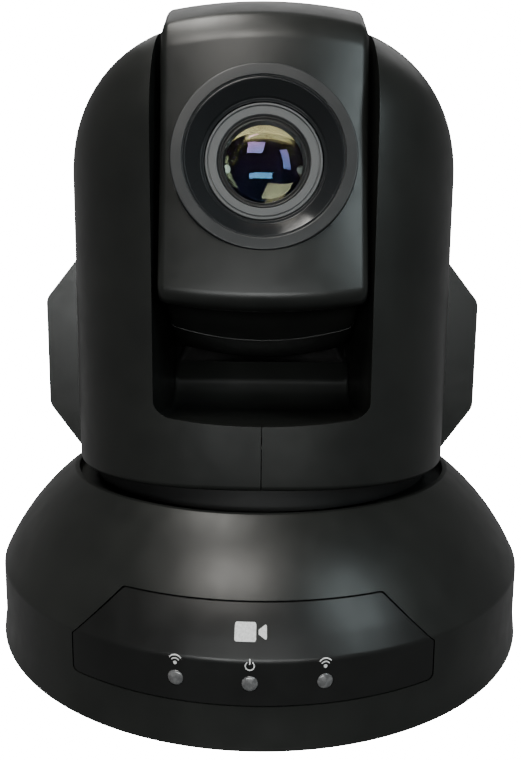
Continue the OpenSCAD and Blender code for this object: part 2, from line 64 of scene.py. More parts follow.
# %% Camera
lens_data = bpy.data.cameras.new("view_camera")
lens_data.lens = 30.03
lens_data.sensor_width = 36
lens_data.clip_start = 0.01
view_camera = bpy.data.objects.new("view_camera", lens_data)
bpy.context.scene.collection.objects.link(view_camera)
view_camera.matrix_world = (
    Matrix.Translation((-0.0003, -0.1796, 0.0867))
    @ Matrix.Rotation(radians(90 - 7.7), 4, "X")
    @ Matrix.Rotation(radians(0.5), 4, "Z")
)
bpy.context.scene.camera = view_camera
print("camera at", tuple(round(v, 4) for v in view_camera.location))

# %% [markdown]
# ## Places measured on the frame
# Later cells only ask where a piece of the frame begins and ends. The tilt axis comes from the
# joint, and the lens axis is the direction that the zoom cell slides along. The lens pieces are
# drawn from a place on that axis just behind the lip of the lens ring.

# %% Measure the frame
joints = {joint["name"]: joint for joint in frame["joints"]}
tilt_axis = Vector(joints["tilt"]["pos_m"])
lens_axis = Vector(joints["zoom_slide"]["axis"]).normalized()
look_up = atan2(lens_axis.z, -lens_axis.y)

base_low, base_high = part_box("base_cover")
yoke_low, yoke_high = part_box("yoke_left_shell")
rear_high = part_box("yoke_rear_cover")[1]
head_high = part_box("head_front_shell")[1]
ring_low, ring_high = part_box("lens_bezel")

skirt_lean = 0.6 * MM
base_r = (base_high.x - base_low.x) / 2 - skirt_lean
ring_r = 19.4 * MM
ring_depth = 5.5 * MM
ring_lip = 0.3 * MM
lens_front = (ring_low + ring_high) / 2 + lens_axis * (ring_depth / 2 - ring_lip)

head_frame_matrix = Matrix.Translation(tilt_axis) @ Matrix.Rotation(-look_up, 4, "X")
lens_matrix = Matrix.Translation(lens_front) @ Matrix.Rotation(pi / 2 - look_up, 4, "X")
print("looks up", round(look_up * 180 / pi, 2), "degrees; lens front", lens_front)

# %% [markdown]
# ## Helpers for outlines
# A moulded part never has a razor-sharp corner. This helper takes a few corner points, each
# with a radius, and puts an arc in each corner. Every profile in this script is drawn with it,
# so that every edge catches a thin line of light. Two more helpers keep a number between 0 and 1
# and count up in equal steps.


# %% Rounded outlines
def clamped(value):
    """The value, kept between 0 and 1."""
    return min(max(value, 0), 1)


def rising(start, end, steps):
    """Numbers from start to end in equal steps, both ends included."""
    return [start + (end - start) * i / steps for i in range(steps + 1)]


def rounded(corners, steps=5, closed=True):
    """Points of an outline. Each corner is (x, y, radius)."""
    points = []
    count = len(corners)
    for i, (x, y, radius) in enumerate(corners):
        here = Vector((x, y))
        if radius == 0 or (not closed and i in (0, count - 1)):
            points.append(here)
            continue
        back = (Vector(corners[i - 1][:2]) - here).normalized()
        ahead = (Vector(corners[(i + 1) % count][:2]) - here).normalized()
        half_angle = back.angle(ahead) / 2
        reach = radius / sin(half_angle) * cos(half_angle)
        centre = here + (back + ahead).normalized() * (radius / sin(half_angle))
        start = here + back * reach - centre
        end = here + ahead * reach - centre
        turn = start.angle_signed(end)
        for step in range(steps + 1):
            angle = -turn * step / steps
            spot = Matrix.Rotation(angle, 2) @ start
            points.append(centre + spot)
    return points


def arc(a, b, sag, steps):
    """Points on an arc from a to b, not counting a; a positive sag bulges to the right of a to b."""
    a, b = Vector(a), Vector(b)
    chord = b - a
    radius = (chord.length**2 / 4 + sag * sag) / (2 * abs(sag))
    side = Vector((chord.y, -chord.x)).normalized()
    centre = (a + b) / 2 + side * (sag - radius if sag > 0 else sag + radius)
    start = a - centre
    turn = start.angle_signed(b - centre)
    return [centre + Matrix.Rotation(-turn * i / steps, 2) @ start for i in range(1, steps + 1)]


corner_test = rounded([(0, 0, 0), (4, 0, 1), (4, 4, 0)], 2)
print("corner test", [tuple(round(v, 2) for v in point) for point in corner_test])

# %% [markdown]
# ## Helpers for pieces
# Three ways of making a solid cover this whole camera. Turned parts such as the base and the
# lens rings are spun from half a profile. Long parts such as the slot are an outline that is
# extruded. A boolean cuts one from the other. Each piece is then smoothed by angle, so that
# round walls look round and real corners stay crisp, and it rides on its body of the frame.


# %% Make, cut and finish pieces
def outline_mesh(points, place):
    """A bmesh with one closed wire outline; place turns a flat point into a 3-D one."""
    bm = bmesh.new()
    verts = [bm.verts.new(place(point)) for point in points]
    for a, b in zip(verts, verts[1:] + verts[:1]):
        bm.edges.new((a, b))
    return bm


def spun(points, steps=192):
    """A closed ring or disc spun round Z from points (radius, height)."""
    bm = outline_mesh(points, lambda p: (p[0], 0, p[1]))
    bmesh.ops.spin(bm, geom=bm.verts[:] + bm.edges[:], cent=(0, 0, 0), axis=(0, 0, 1),
                   angle=2 * pi, steps=steps, use_merge=True)
    bmesh.ops.remove_doubles(bm, verts=bm.verts[:], dist=1e-7)
    bmesh.ops.recalc_face_normals(bm, faces=bm.faces[:])
    return bm


def extruded(points, place, along):
    """A closed outline extruded along a vector, with flat ends."""
    bm = outline_mesh(points, place)
    face = bm.faces.new(bm.verts[:])
    result = bmesh.ops.extrude_face_region(bm, geom=[face])
    moved = [item for item in result["geom"] if isinstance(item, bmesh.types.BMVert)]
    bmesh.ops.translate(bm, verts=moved, vec=along)
    bmesh.ops.recalc_face_normals(bm, faces=bm.faces[:])
    return bm


def cylinder(radius, depth, segments=96):
    """A closed cylinder from z = 0 down to z = -depth."""
    bm = bmesh.new()
    bmesh.ops.create_cone(bm, cap_ends=True, segments=segments, radius1=radius, radius2=radius,
                          depth=depth, matrix=Matrix.Translation((0, 0, -depth / 2)))
    return bm


def block(low, high):
    """A box between two corners."""
    low, high = Vector(low), Vector(high)
    bm = bmesh.new()
    bmesh.ops.create_cube(bm, size=1, matrix=Matrix.Translation((low + high) / 2)
                          @ Matrix.Diagonal((*(high - low), 1)))
    return bm


def placed(bm, matrix):
    """The same bmesh, moved as a whole by a matrix."""
    bmesh.ops.transform(bm, matrix=matrix, verts=bm.verts[:])
    return bm


def new_object(name, bm):
    """An object with the bmesh as its mesh; the bmesh is used up."""
    mesh = bpy.data.meshes.new(name)
    bm.to_mesh(mesh)
    bm.free()
    piece = bpy.data.objects.new(name, mesh)
    bpy.context.scene.collection.objects.link(piece)
    return piece


def apply_modifiers(piece):
    """Puts the result of the modifiers into the mesh."""
    graph = bpy.context.evaluated_depsgraph_get()
    mesh = bpy.data.meshes.new_from_object(piece.evaluated_get(graph))
    piece.modifiers.clear()
    piece.data = mesh


def measured(mesh):
    """The number of open edges of a mesh, and its volume."""
    bm = bmesh.new()
    bm.from_mesh(mesh)
    open_edges = sum(len(edge.link_faces) != 2 for edge in bm.edges)
    volume = bm.calc_volume(signed=True)
    bm.free()
    return open_edges, volume


def combine(piece, bm, operation="DIFFERENCE"):
    """Cuts, joins or intersects piece with the solid in bm, and applies the result.

    The exact solver can trip over faces that only just touch. So the result is measured, and
    when it isn't a sound solid, the cut is made again with the tool moved by a hair."""
    tool = new_object("tool", bm)
    start = piece.data
    open_before, volume_before = measured(start)
    for hair in (0, 0.0037, -0.0049, 0.0083, -0.0121):
        tool.data.transform(Matrix.Translation(Vector((1, 0.7, -1.3)) * hair * MM))
        modifier = piece.modifiers.new("combine", "BOOLEAN")
        modifier.operation = operation
        modifier.solver = "EXACT"
        modifier.object = tool
        apply_modifiers(piece)
        open_after, volume = measured(piece.data)
        if operation == "UNION":
            likely = volume > volume_before * 0.999
        else:
            likely = 0 < volume < volume_before * 1.001
        if likely and open_after <= open_before:
            break
        print("cut again", piece.name, open_after, round(volume * 1e6, 2), "cm3")
        piece.data = start
    bpy.data.objects.remove(tool)
    tidy = bmesh.new()
    tidy.from_mesh(piece.data)
    bmesh.ops.remove_doubles(tidy, verts=tidy.verts[:], dist=2e-6)
    bmesh.ops.dissolve_degenerate(tidy, edges=tidy.edges[:], dist=1e-6)
    tidy.to_mesh(piece.data)
    tidy.free()


def soften(piece, width, angle=40, segments=2):
    """Rounds every corner sharper than angle."""
    modifier = piece.modifiers.new("edges", "BEVEL")
    modifier.width = width
    modifier.segments = segments
    modifier.limit_method = "ANGLE"
    modifier.angle_limit = radians(angle)
    modifier.use_clamp_overlap = True
    modifier.harden_normals = False
    apply_modifiers(piece)


def finish_piece(piece, body, material, replaced=(), angle=38):
    """Smooths a piece by angle, gives it its finish and hangs it on its body."""
    for face in piece.data.polygons:
        face.use_smooth = True
    piece.data.set_sharp_from_angle(angle=radians(angle))
    modifier = piece.modifiers.new("normals", "WEIGHTED_NORMAL")
    modifier.keep_sharp = True
    apply_modifiers(piece)
    piece.data.materials.clear()
    piece.data.materials.append(material)
    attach(piece, body)
    if replaced:
        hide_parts(*replaced)
    print(piece.name, len(piece.data.polygons), "faces")
    return piece


# %% [markdown]
# ## Moulded plastic
# All shells are injection-moulded plastic with a fine satin texture. Close up, such a surface is
# a bed of tiny bumps, a tenth of a millimetre across, which spreads reflections without dulling
# them. So the material is nearly black and its bump is a noise at that scale. A broad noise lets
# the colour drift, and a second one varies the roughness, as handling marks do.


# %% Satin plastic
def node_tree(name):
    """A new material, its nodes and links, its shader and the coordinates of the object."""
    material = bpy.data.materials.new(name)
    material.use_nodes = True
    nodes = material.node_tree.nodes
    links = material.node_tree.links
    shader = nodes["Principled BSDF"]
    coords = nodes.new("ShaderNodeTexCoord").outputs["Object"]
    return material, nodes, links, shader, coords


def noise(nodes, links, coords, scale, detail=3.0):
    """A noise between 0 and 1; a larger scale makes a finer noise."""
    texture = nodes.new("ShaderNodeTexNoise")
    texture.inputs["Scale"].default_value = scale
    texture.inputs["Detail"].default_value = detail
    links.new(coords, texture.inputs["Vector"])
    return texture.outputs["Fac"]


def ramp(nodes, links, source, low, high, start=0.35, end=0.65):
    """A colour ramp from low to high; plain numbers give greys."""
    blend = nodes.new("ShaderNodeValToRGB")
    for element, value, place in zip(blend.color_ramp.elements, (low, high), (start, end)):
        element.position = place
        element.color = (*value, 1) if isinstance(value, tuple) else (value, value, value, 1)
    links.new(source, blend.inputs["Fac"])
    return blend.outputs["Color"]


def bump(nodes, links, shader, source, strength, distance):
    """Makes source the relief of the surface, distance deep in metres."""
    relief = nodes.new("ShaderNodeBump")
    relief.inputs["Strength"].default_value = strength
    relief.inputs["Distance"].default_value = distance
    links.new(source, relief.inputs["Height"])
    links.new(relief.outputs["Normal"], shader.inputs["Normal"])


grain_depth = 0.00003


def moulded(name, dark, light, rough, grain=9000, relief=0.25, ior=1.4):
    """Plastic whose colour and roughness drift a little, with a fine moulded grain."""
    material, nodes, links, shader, coords = node_tree(name)
    drift = noise(nodes, links, coords, 60, 4)
    links.new(ramp(nodes, links, drift, dark, light), shader.inputs["Base Color"])
    handling = noise(nodes, links, coords, 170, 5)
    links.new(ramp(nodes, links, handling, rough - 0.025, rough + 0.035), shader.inputs["Roughness"])
    bump(nodes, links, shader, noise(nodes, links, coords, grain, 2), relief, grain_depth)
    shader.inputs["IOR"].default_value = ior
    return material


shell_plastic = moulded("satin_black_shell", (0.0092, 0.0098, 0.0092), (0.0125, 0.0132, 0.0122), 0.33)
panel_plastic = moulded("panel_black", (0.006, 0.0062, 0.006), (0.008, 0.0082, 0.008), 0.33, 12000, 0.12)
# Painted shade: the turntable is darker than the shells, so the recess under the yoke reads black.
turntable_painted_shade = moulded("turntable_black_painted_shade", (0.004, 0.004, 0.004), (0.006, 0.006, 0.006), 0.55)
ring_plastic = moulded("ring_dark_grey", (0.020, 0.021, 0.022), (0.024, 0.025, 0.026), 0.34, 14000, 0.15)
funnel_plastic = moulded("funnel_gloss", (0.010, 0.011, 0.012), (0.012, 0.013, 0.014), 0.16, 6000, 0.06)
barrel_plastic = moulded("barrel_grey", (0.075, 0.078, 0.08), (0.088, 0.09, 0.092), 0.45, 15000, 0.2)
stop_plastic = moulded("retaining_black", (0.006, 0.006, 0.006), (0.01, 0.01, 0.01), 0.3, 14000, 0.1)
port_plastic = moulded("socket_black", (0.012, 0.012, 0.012), (0.016, 0.016, 0.016), 0.42)
pulley_plastic = moulded("pulley_white", (0.62, 0.6, 0.55), (0.7, 0.68, 0.62), 0.45)
selector_plastic = moulded("selector_ivory", (0.62, 0.58, 0.42), (0.7, 0.66, 0.5), 0.4)
foot_rubber = moulded("foot_rubber", (0.012, 0.012, 0.012), (0.02, 0.02, 0.019), 0.8, 5000, 0.5)
belt_rubber = moulded("belt_rubber", (0.01, 0.01, 0.01), (0.016, 0.016, 0.016), 0.7, 4000, 0.5)
print(len(bpy.data.materials), "materials so far")

# %% [markdown]
# ## Base
# The base is one deep moulded cover, a wall that leans in very slightly, a soft ridge, and a
# flare that rises to the rim. Inside the rim it steps down into a dark recess where the
# turntable turns. It is a turned shape, so half its section is spun round the pan axis.

# %% Base section
skirt_z = base_low.z
rim_z = base_high.z
rim_r = 51.8 * MM
ridge_z = 19 * MM
wall = 2.4 * MM
recess_z = rim_z - 2.4 * MM
neck_r = 22 * MM
base_steps = 256


def base_section(inset):
    """Outside of the base from the skirt to the rim, drawn inwards by inset."""
    foot_corner = (base_r + skirt_lean - inset, skirt_z, 0)
    ridge = Vector((base_r - inset, ridge_z - inset * 0.4))
    rim = Vector((rim_r - inset * 0.4, rim_z - inset))
    flare = arc(ridge, rim, 1.8 * MM, 22)
    skirt = [foot_corner, (base_r - inset, 6 * MM, 0), (*ridge, 2.2 * MM), (*flare[2], 0)]
    return rounded(skirt, 6, False)[:-1] + flare[2:]


outer = base_section(0)
inner = base_section(wall)
lip = rounded([(*outer[-2], 0), (*outer[-1], 0.7 * MM), (rim_r - 1.2 * MM, rim_z, 0.3 * MM),
               (rim_r - 1.6 * MM, recess_z, 0.4 * MM), (neck_r, recess_z, 0)], 5, False)
under = [Vector((neck_r, recess_z - wall)), Vector((inner[-1].x, recess_z - wall))]
section = outer[:-2] + lip + under + inner[::-1][1:]
base_piece = new_object("base_shell", spun(section, base_steps))
print("rim at", round(rim_z, 4), "section points", len(section))

# %% [markdown]
# ## Front panel
# A separate insert wraps round the front of the base. Its lower part lies in the wall and its
# upper part in the flare, with corners that lean in. The insert and the hole for it are the same
# outline, pushed through the base from the front, and the hole is cut a little larger. That
# leaves the thin dark gap that shows it is a separate piece.

# %% Cut the panel out of the base
panel_low, panel_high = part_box("front_panel")
panel_yaw = radians(-1.5)
half_panel = base_r * sin(radians(31.4))
panel_gap = 0.3 * MM
window_nodes = ("ir_window_left", "power_window", "ir_window_right")


def facing(node):
    """The way a window looks, its height, and the turn that brings +Z round to it."""
    low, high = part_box(node)
    centre = (low + high) / 2
    direction = Vector((centre.x, centre.y, 0)).normalized()
    turn = Vector((0, 0, 1)).rotation_difference(direction).to_matrix().to_4x4()
    return direction, centre.z, turn


def panel_cutter(grow):
    """The panel's outline as a solid through the front of the base, larger by grow."""
    half = half_panel + grow
    top_half = half_panel - 10.6 * MM + grow * 0.6
    low = panel_low.z - grow
    high = panel_high.z + grow
    corner = ridge_z - 0.8 * MM
    points = rounded([(-half, low, 1.2 * MM), (half, low, 1.2 * MM), (half, corner, 0.6 * MM),
                      (top_half, high, 1.5 * MM), (-top_half, high, 1.5 * MM), (-half, corner, 0.6 * MM)])
    bm = extruded(points, lambda p: (p[0], -90 * MM, p[1]), (0, 60 * MM, 0))
    bmesh.ops.rotate(bm, verts=bm.verts[:], cent=(0, 0, 0), matrix=Matrix.Rotation(panel_yaw, 3, "Z"))
    return bm


combine(base_piece, panel_cutter(panel_gap))
port_opening = block((-29 * MM, 50 * MM, 5.4 * MM), (29 * MM, 80 * MM, 17.8 * MM))
combine(base_piece, port_opening)
soften(base_piece, 0.25 * MM, 50)
finish_piece(base_piece, "base", shell_plastic, ["base_cover"], 34)

panel_section = base_section(0.02 * MM) + base_section(1.8 * MM)[::-1]
panel_piece = new_object("front_panel_skin", spun(panel_section, base_steps))
combine(panel_piece, panel_cutter(0), "INTERSECT")
soften(panel_piece, 0.2 * MM, 50)
for node in window_nodes:
    direction, height, turn = facing(node)
    outside = Matrix.Translation((direction * 85 * MM) + Vector((0, 0, height))) @ turn
    combine(panel_piece, placed(cylinder(1.6 * MM, 30 * MM, 48), outside))
finish_piece(panel_piece, "base", panel_plastic, ["front_panel"], 34)

# %% [markdown]
# ## Lofted solids
# The yoke and the head are neither turned nor straight. Both are lofts: one outline is extruded
# step by step, and after each step the new outline is placed on the next ring. The rings are
# worked out by short formulas, so a change of width or height carries through the whole form.


# %% Loft helper
def lofted(rings):
    """A closed solid through rings that all have the same number of points."""
    bm = bmesh.new()
    cap = bm.faces.new([bm.verts.new(point) for point in rings[0]])
    for before, after in zip(rings, rings[1:]):
        result = bmesh.ops.extrude_face_region(bm, geom=[cap])
        if before is not rings[0]:
            bmesh.ops.delete(bm, geom=[cap], context="FACES_ONLY")
        cap = max((item for item in result["geom"] if isinstance(item, bmesh.types.BMFace)),
                  key=lambda face: len(face.verts))
        place = {tuple(a): b for a, b in zip(before, after)}
        for vert in cap.verts:
            vert.co = place[tuple(vert.co)]
    bmesh.ops.recalc_face_normals(bm, faces=bm.faces[:])
    return bm


# %% [markdown]
# ## Yoke
# Seen from above the yoke is a squarish oval, a superellipse. Its walls stand upright to the
# height of the tilt axis and then round over to the tops of the arms. The whole block is lofted
# from ovals first, the slot for the head is cut out of it next, and it is then divided where the
# real mouldings part: a seam down the front, and a parting line between front and rear.

# %% Yoke block
yoke_half = yoke_high.x - yoke_low.x + 0.1 * MM
yoke_depth = -yoke_low.y
yoke_top = yoke_high.z
yoke_bottom = yoke_low.z
dome_x, dome_z = 17 * MM, 115 * MM
brow_y, brow_z = 18 * MM, 122 * MM


def oval(half_w, half_d, z, count=168, power=2.5):
    """Points of a superellipse at height z; a power of 2 would make a plain ellipse."""
    points = []
    for i in range(count):
        angle = 2 * pi * i / count
        c, s = cos(angle), sin(angle)
        x = half_w * (1 if c > 0 else -1) * abs(c) ** (2 / power)
        y = half_d * (1 if s > 0 else -1) * abs(s) ** (2 / power)
        points.append(Vector((x, y, z)))
    return points


def yoke_block(inset):
    """The yoke's outside before the slot is cut, drawn inwards by inset."""
    half_w, half_d = yoke_half - inset, yoke_depth - inset
    low = yoke_bottom + inset
    dome_h = yoke_top - dome_z - inset
    edge = 1.4 * MM
    rings = []
    for angle in rising(0, pi / 2, 4):
        rings.append(oval(half_w - edge * (1 - sin(angle)), half_d - edge * (1 - sin(angle)),
                          low + edge * (1 - cos(angle))))
    for z in rising(low + 4 * MM, dome_z - 3 * MM, 16):
        rings.append(oval(half_w, half_d, z))
    for angle in rising(0, pi / 2, 22):
        z = dome_z + dome_h * sin(angle)
        brow = clamped((z - brow_z) / (yoke_top - inset - brow_z))
        rings.append(oval(dome_x + (half_w - dome_x) * cos(angle),
                          brow_y + (half_d - brow_y) * sqrt(1 - brow * brow), z))
    return lofted(rings)


# %% [markdown]
# ## Slot and scoop
# The slot has a saddle at the bottom: a front lip that sags a little in the middle, a scoop with
# a fillet behind it, and a round trough that the head's back turns over. The same side section
# makes the cutter for the slot and the thin saddle cover, so the two always agree. Towards its
# sides the floor turns up into the walls, with a large radius at the lip and a small one behind.

# %% Slot section
lip_z = 59 * MM
floor_z = 57 * MM
scoop_r = 8.6 * MM
scoop_y = -17.2 * MM
barrel_r = 43.8 * MM
barrel_rise = 1.1 * MM
trough_r = barrel_r + 1.4 * MM
slot_half = 23.5 * MM
rear_sill_z = 91.9 * MM


def saddle_path(grow):
    """The saddle's surface in side view, front to back, pushed outwards by grow."""
    path = [Vector((-43 * MM, floor_z + 0.5 * MM - grow)), Vector((-41 * MM, floor_z + 0.1 * MM - grow))]
    for angle in rising(0, radians(80), 12):
        path.append(Vector((scoop_y + (scoop_r + grow) * sin(angle),
                            floor_z + scoop_r - (scoop_r + grow) * cos(angle))))
    for angle in rising(radians(-96.5), radians(-28), 16):
        path.append(Vector(((trough_r + grow) * cos(angle),
                            tilt_axis.z + barrel_rise + (trough_r + grow) * sin(angle))))
    return path


def side_lift(x, y, half):
    """How far the saddle's floor rises at x, with a fillet against a wall at half."""
    front = clamped((-y - 42 * MM) / (3 * MM))
    radius = (1.4 + 2.4 * front) * MM
    lift = 2.0 * MM * (x / half) ** 2 * clamped((-y - 20 * MM) / (28 * MM))
    over = abs(x) - (half - radius)
    if over > 0:
        lift += radius - sqrt(max(radius * radius - over * over, 0))
    return lift


def across(half):
    """Places across the slot, closer together near the walls."""
    return [half * sin(angle) for angle in rising(-pi / 2, pi / 2, 36)]


def slot_cutter(half, grow=0.0):
    """All the room between the arms, half to each side, with its floor lowered by grow."""
    far, above = 70 * MM, 170 * MM
    front = [Vector((-far, lip_z - grow)), Vector((-45.2 * MM, lip_z - 0.2 * MM - grow))]
    back = [Vector((far, rear_sill_z - grow)), Vector((far, above)), Vector((-far, above))]
    section = front + saddle_path(grow) + back
    rings = []
    for x in across(half):
        ring = []
        for y, z in section:
            lift = side_lift(x, y, half) if z < 80 * MM else 0
            ring.append(Vector((x, y, z + lift)))
        rings.append(ring)
    return lofted(rings)


# %% Cut the yoke and divide it
yoke_whole = new_object("yoke_whole", yoke_block(0))
hollow = new_object("hollow", yoke_block(wall))
combine(hollow, slot_cutter(slot_half + 2.4 * MM, 1.8 * MM))
bm = bmesh.new()
bm.from_mesh(hollow.data)
combine(yoke_whole, bm)
bpy.data.objects.remove(hollow)
combine(yoke_whole, slot_cutter(slot_half))
room_front = [Vector((-43.05 * MM, 80 * MM))]
room_back = [Vector((44.9 * MM, rear_sill_z)), Vector((44.9 * MM, 110 * MM))]
saddle_room = extruded(room_front + saddle_path(1.9 * MM) + room_back,
                       lambda p: (-slot_half, p[0], p[1]), (2 * slot_half, 0, 0))
combine(yoke_whole, saddle_room)
across_tilt_axis = (Matrix.Translation(tilt_axis) @ Matrix.Rotation(pi / 2, 4, "Y")
                    @ Matrix.Translation((0, 0, 40 * MM)))
combine(yoke_whole, placed(cylinder(7.5 * MM, 80 * MM), across_tilt_axis))
print("yoke", len(yoke_whole.data.polygons), "faces before it is divided")


def part_of(whole, name, low, high):
    """What lies of whole in a box, as a new piece; the box is in millimetres."""
    piece = bpy.data.objects.new(name, whole.data.copy())
    bpy.context.scene.collection.objects.link(piece)
    combine(piece, block([v * MM for v in low], [v * MM for v in high]), "INTERSECT")
    return piece


half_gap = 0.1
left_shell = part_of(yoke_whole, "yoke_left_front", (-70, -70, 30), (-half_gap, -half_gap, 180))
right_bm = bmesh.new()
right_bm.from_mesh(left_shell.data)
bmesh.ops.scale(right_bm, vec=(-1, 1, 1), verts=right_bm.verts[:])
bmesh.ops.reverse_faces(right_bm, faces=right_bm.faces[:])
right_shell = new_object("yoke_right_front", right_bm)
rear_shell = part_of(yoke_whole, "yoke_rear", (-70, half_gap, 30), (70, 70, 180))
bpy.data.objects.remove(yoke_whole)

# %% [markdown]
# ## Side pods
# An eight-sided pod swells out of each side of the rear cover. Its front is a flat face just
# behind the parting line. Each pod is an outline with generous corners, extruded from front to
# back and joined to the rear cover, so that pod and cover are one moulding.

# %% Pods
pod_reach = rear_high.x
pod_front, pod_back = 0.4 * MM, 36 * MM
pod_low, pod_high = 41.4 * MM, 96.6 * MM
pod_face_low, pod_face_high = 55 * MM, 85 * MM
screw_pocket_r = 2.5 * MM


def pod(side, inset=0.0):
    """One pod as a solid, drawn inwards by inset; side is -1 or 1."""
    reach = pod_reach - inset
    inner = 44 * MM
    corners = [(inner, pod_low + inset, 0), (51 * MM, pod_low + inset, 2 * MM),
               (reach, pod_face_low + inset * 0.3, 4 * MM), (reach, pod_face_high - inset * 0.3, 4 * MM),
               (51.5 * MM, pod_high - inset, 2 * MM), (inner, pod_high - inset, 0)]
    outline = rounded(corners, 6)
    return extruded(outline, lambda p: (side * p[0], pod_front + inset, p[1]),
                    (0, pod_back - pod_front - 2 * inset, 0))


for side in (-1, 1):
    combine(rear_shell, pod(side), "UNION")
    combine(rear_shell, pod(side, wall))
for piece in (left_shell, right_shell, rear_shell):
    soften(piece, 0.45 * MM, 48, 3)
pod_screws = [(x * MM, z * MM) for x in (-55.5, 55.5) for z in (58, 81)]
for x, z in pod_screws:
    behind_pod = Matrix.Translation((x, pod_back + 1.7 * MM, z)) @ Matrix.Rotation(-pi / 2, 4, "X")
    combine(rear_shell, placed(cylinder(screw_pocket_r, 3 * MM, 40), behind_pod))
finish_piece(left_shell, "pan_body", shell_plastic, ["yoke_left_shell"])
finish_piece(right_shell, "pan_body", shell_plastic, ["yoke_right_shell"])
finish_piece(rear_shell, "pan_body", shell_plastic, ["yoke_rear_cover"])

# %% Saddle cover
section = saddle_path(0) + saddle_path(1.8 * MM)[::-1]
saddle_half = slot_half - 0.05 * MM
saddle_rings = []
for x in across(saddle_half):
    saddle_rings.append([Vector((x, y, z + side_lift(x, y, saddle_half))) for y, z in section])
saddle_piece = new_object("saddle_skin", lofted(saddle_rings))
finish_piece(saddle_piece, "pan_body", shell_plastic, ["saddle_cover"], 50)

# %% [markdown]
# ## Head
# In side view the head has a flat face, a brow that rounds back into a drum, and a short chin
# that turns in under the face. The drum is centred just above the tilt axis, so it turns in its
# trough with a constant gap. Across its width the head is crowned: the outline shrinks towards
# both sides, more at the face and the chin than on top, and the side edges are rounded.

# %% Head outline
face_y = 44.6 * MM
head_half = head_high.x - 0.9 * MM
crown_by_side = {"top": 1.3 * MM, "front": 3.4 * MM, "bottom": 3.4 * MM, "back": 2.4 * MM}


def head_section():
    """The head in side view round the tilt axis: drum first, then brow, face and chin."""
    drum = [Vector((barrel_r * cos(a), barrel_rise + barrel_r * sin(a)))
            for a in rising(radians(-127), radians(101), 76)]
    brow = arc(drum[-1], (-face_y + 0.9 * MM, 25.5 * MM), 4.0 * MM, 14)
    corners = [(*brow[-1], 0), (-face_y, 21 * MM, 8 * MM), (-face_y, -36.4 * MM, 3.6 * MM),
               (*drum[0], 0)]
    face = rounded(corners, 8, False)
    long_face = [face[0]]
    for a, b in zip(face, face[1:]):
        pieces = max(int((b - a).length / (2.5 * MM)), 1)
        long_face += [a.lerp(b, i / pieces) for i in range(1, pieces + 1)]
    return drum + brow[:-1] + long_face[:-1]


def crown_at(point):
    """How much the outline shrinks at the sides, blended by direction from the tilt axis."""
    y, z = point.normalized()
    up, down = max(z, 0) ** 2, max(-z, 0) ** 2
    ahead, behind = max(-y, 0) ** 2, max(y, 0) ** 2
    return (up * crown_by_side["top"] + down * crown_by_side["bottom"]
            + ahead * crown_by_side["front"] + behind * crown_by_side["back"])


def head_solid(inset):
    """The head as one solid, drawn inwards by inset; its drum swells a little to fill the slot."""
    section = head_section()
    edge = 1.8 * MM
    half = head_half - inset
    stations = [(x, 0.0) for x in rising(-half + edge, half - edge, 26)]
    corner = [(half - edge + edge * sin(a), edge * (1 - cos(a))) for a in rising(pi / 12, pi / 2, 5)]
    stations = [(-x, cut) for x, cut in corner[::-1]] + stations + corner
    rings = []
    for x, cut in stations:
        ring = []
        for point in section:
            shrink = inset + cut + crown_at(point) * (x / half) ** 2
            spot = point * (1 - shrink / point.length)
            swell = 0.04 * clamped((point.x + 38 * MM) / (10 * MM))
            ring.append(head_frame_matrix @ Vector((x * (1 + swell), spot.x, spot.y)))
        rings.append(ring)
    return lofted(rings)


# %% Head shells
def head_part(name, y_low, y_high, *holes):
    """The hollow head between two depths in millimetres, with holes through it."""
    piece = new_object(name, head_solid(0))
    for hole in holes:
        combine(piece, hole)
    combine(piece, head_solid(2 * MM))
    slab = block((-40 * MM, y_low * MM, -80 * MM), (40 * MM, y_high * MM, 80 * MM))
    combine(piece, placed(slab, head_frame_matrix), "INTERSECT")
    return piece


front_ends, back_starts = -16.1, -15.9
before_lens = lens_matrix @ Matrix.Translation((0, 0, 12 * MM))
lens_hole = placed(cylinder(ring_r + 0.05 * MM, 40 * MM, 160), before_lens)
head_front = head_part("head_front", -80, front_ends, lens_hole)
soften(head_front, 0.2 * MM, 50)
finish_piece(head_front, "head", shell_plastic, ["head_front_shell"])

head_back = head_part("head_back", back_starts, 80)
through_head = head_frame_matrix @ Matrix.Rotation(pi / 2, 4, "Y") @ Matrix.Translation((0, 0, 40 * MM))
combine(head_back, placed(cylinder(4.5 * MM, 80 * MM, 64), through_head))
pocket_floor = 39.95 * MM
head_screws = [(x * MM, z * MM) for x in (-13, 13) for z in (-12, 14)]
for x, z in head_screws:
    on_back = head_frame_matrix @ Matrix.Translation((x, pocket_floor, z)) @ Matrix.Rotation(pi / 2, 4, "X")
    combine(head_back, placed(cylinder(2.45 * MM, 8 * MM, 40), on_back))
soften(head_back, 0.2 * MM, 50)
finish_piece(head_back, "head", shell_plastic, ["head_rear_shell"])

# %% [markdown]
# ## Lens
# Everything in the lens is turned, and all of it is spun from half sections drawn from the lens
# front backwards: a flat satin ring, a polished funnel with a thin bright rim, a grey barrel with
# two fine grooves, a black retaining ring and the domed front glass. The fine steps between them
# matter more than their colours, because each one draws a circle of light.


# %% Turned lens pieces
def turned(name, points, material, replaced=(), steps=160, angle=30):
    """A lens piece spun round the lens axis from points (radius, height) in millimetres."""
    bm = placed(spun([Vector((x * MM, z * MM)) for x, z in points], steps), lens_matrix)
    return finish_piece(new_object(name, bm), "head", material, replaced, angle)


